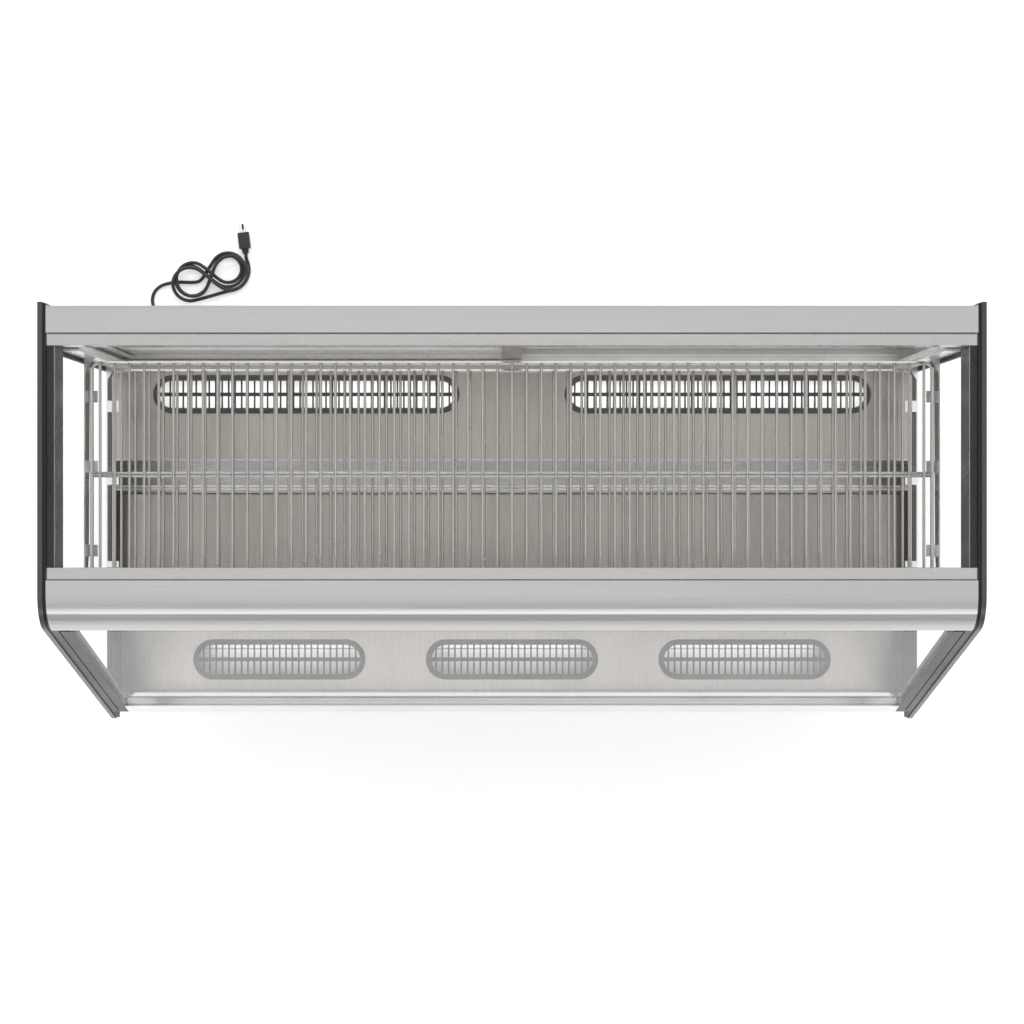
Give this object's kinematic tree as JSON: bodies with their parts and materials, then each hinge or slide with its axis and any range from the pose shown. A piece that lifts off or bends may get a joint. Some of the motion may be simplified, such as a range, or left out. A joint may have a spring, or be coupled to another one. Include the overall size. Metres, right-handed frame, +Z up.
{
  "type": "refrigerated deli case",
  "caption": "Floor-standing refrigerated deli case with slanted glass front, glass top and ends, wire shelves, vented steel decks and sliding glass rear doors.",
  "frame": {"origin": "on the floor, under the middle of the case without its cord", "axes": "+X to the case's right seen from the customer's side, +Y to the rear doors, +Z up"},
  "size_m": [1.5505, 1.0223, 1.27],
  "materials": {
    "dark_frame": "semi-gloss",
    "side_trim": "dark anodised",
    "clear_glass": "polished",
    "front_glass": "polished",
    "side_channel": "dark anodised",
    "black_rubber": "matte",
    "rail_aluminium": "satin",
    "diffuser": "frosted",
    "clamp_metal": "polished",
    "bright_steel": "bright",
    "shelf_wire": "polished",
    "bracket": "bright",
    "deck_steel": "brushed",
    "vent_ring": "matte",
    "vent_grille": "satin",
    "dark_liner": "satin",
    "tub_steel": "galvanised",
    "tub_skin": "galvanised sheet over foam",
    "coil": "bright",
    "white_panel": "gloss",
    "motor": "satin",
    "fan": "matte",
    "compressor": "gloss",
    "copper": "bright",
    "base_panel": "satin",
    "foot": "matte",
    "black_plastic": "gloss",
    "cord": "satin"
  },
  "bodies": {
    "case": {"base_chassis": "tub_steel", "base_front_panel": "base_panel", "base_rear_panel": "tub_steel", "base_side_panels": "base_panel", "compressor": "compressor", "condenser_coil": "coil", "condenser_shroud": "motor", "cord_hank": "cord", "cord_lead": "cord", "door_jambs": "bright_steel", "door_track_lower": "bright_steel", "door_track_upper": "rail_aluminium", "end_frame_left": "dark_frame", "end_frame_right": "dark_frame", "end_glass": "clear_glass", "end_trim_left": "side_trim", "end_trim_right": "side_trim", "evaporator_coil": "coil", "fan_motors": "motor", "fan_panel": "white_panel", "feet": "foot", "front_deck": "deck_steel", "front_gaskets": "black_rubber", "front_sill": "bright_steel", "front_top_rail": "rail_aluminium", "light_bar": "rail_aluminium", "light_diffuser": "diffuser", "nose_trim": "bright_steel", "pilasters": "bright_steel", "plug": "cord", "rear_deck": "deck_steel", "rear_top_rail": "rail_aluminium", "refrigerant_lines": "copper", "screws": "bright_steel", "shelf_bracket_lower_left": "bracket", "shelf_bracket_lower_right": "bracket", "shelf_bracket_upper_left": "bracket", "shelf_bracket_upper_right": "bracket", "shelf_lower": "shelf_wire", "shelf_upper": "shelf_wire", "side_channel_left": "side_channel", "side_channel_right": "side_channel", "strain_relief": "black_rubber", "switch_bezel": "black_plastic", "top_glass": "clear_glass", "tub_liner": "dark_liner", "tub_shell": "tub_skin", "vent_grilles": "vent_grille", "vent_rings": "vent_ring"},
    "door_left": {"door_left_frame": "rail_aluminium", "door_left_glass": "clear_glass"},
    "door_right": {"door_right_frame": "rail_aluminium", "door_right_glass": "clear_glass"},
    "front_glass": {"front_glass": "front_glass", "front_glass_clamp": "clamp_metal"},
    "evaporator_fan_left": {"evaporator_fan_left": "fan"},
    "evaporator_fan_right": {"evaporator_fan_right": "fan"},
    "condenser_fan": {"condenser_fan": "fan"},
    "rocker_switch": {"rocker_switch": "black_plastic"},
    "thermostat_knob": {"thermostat_knob": "black_plastic"}
  },
  "joints": [
    {"name": "door_left_slide", "type": "slide", "parent": "case", "child": "door_left", "axis": [1, 0, 0], "range_m": [0, 0.66]},
    {"name": "door_right_slide", "type": "slide", "parent": "case", "child": "door_right", "axis": [1, 0, 0], "range_m": [-0.66, 0]},
    {"name": "front_glass_tilt", "type": "hinge", "parent": "case", "child": "front_glass", "pos_m": [0, -0.33387, 0.68], "axis": [1, 0, 0], "range_deg": [0, 50]},
    {"name": "evaporator_fan_left_spin", "type": "hinge", "parent": "case", "child": "evaporator_fan_left", "pos_m": [-0.2, 0.1209, 0.626], "axis": [0, 1, 0], "continuous": true},
    {"name": "evaporator_fan_right_spin", "type": "hinge", "parent": "case", "child": "evaporator_fan_right", "pos_m": [0.2, 0.1209, 0.626], "axis": [0, 1, 0], "continuous": true},
    {"name": "condenser_fan_spin", "type": "hinge", "parent": "case", "child": "condenser_fan", "pos_m": [-0.15, -0.121, 0.267], "axis": [0, 1, 0], "continuous": true},
    {"name": "rocker_switch_tilt", "type": "hinge", "parent": "case", "child": "rocker_switch", "pos_m": [0.56, 0.3255, 0.44], "axis": [1, 0, 0], "range_deg": [0, 8]},
    {"name": "thermostat_turn", "type": "hinge", "parent": "case", "child": "thermostat_knob", "pos_m": [0.62, 0.3315, 0.44], "axis": [0, 1, 0], "range_deg": [0, 270]}
  ]
}
